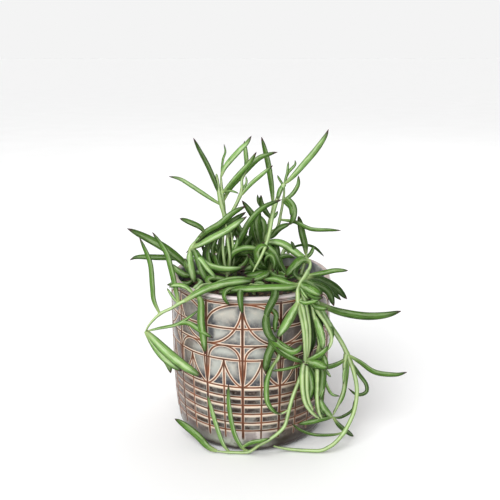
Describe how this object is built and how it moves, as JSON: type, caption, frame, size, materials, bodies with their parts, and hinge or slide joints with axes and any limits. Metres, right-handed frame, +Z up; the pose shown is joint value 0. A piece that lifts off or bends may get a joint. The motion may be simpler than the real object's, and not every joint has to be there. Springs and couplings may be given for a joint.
{
  "type": "potted trailing succulent",
  "caption": "Round glazed pot with a relief of tiles and arches, filled with soil and a trailing succulent whose leafy stems stand up, hang over the rim and lie at its foot.",
  "frame": {"origin": "centre of the pot's base, on the surface that it stands on", "axes": "+Z up along the pot's axis, -Y toward the side from which the plant is planned, with the trailing stems at the front and right, +X to the right"},
  "size_m": [0.1942, 0.133, 0.2121],
  "materials": {
    "glaze": "glossy grey-blue glaze, thin and rust brown on the raised lines",
    "soil": "crumbly dark potting mix with bits of bark",
    "plant": "fleshy green leaves with a slight sheen"
  },
  "bodies": {
    "root": {"pot": "glaze", "soil": "soil", "stem_back_left": "plant", "stem_back_right": "plant", "stem_front": "plant", "stem_left": "plant", "stem_left_trailing": "plant", "stem_tall_left": "plant", "stem_tall_middle": "plant", "stem_tall_right": "plant", "stem_trailing_front": "plant", "stem_trailing_right": "plant", "stem_upright_right": "plant", "tuft_inner_left": "plant", "tuft_inner_right": "plant"}
  },
  "joints": []
}
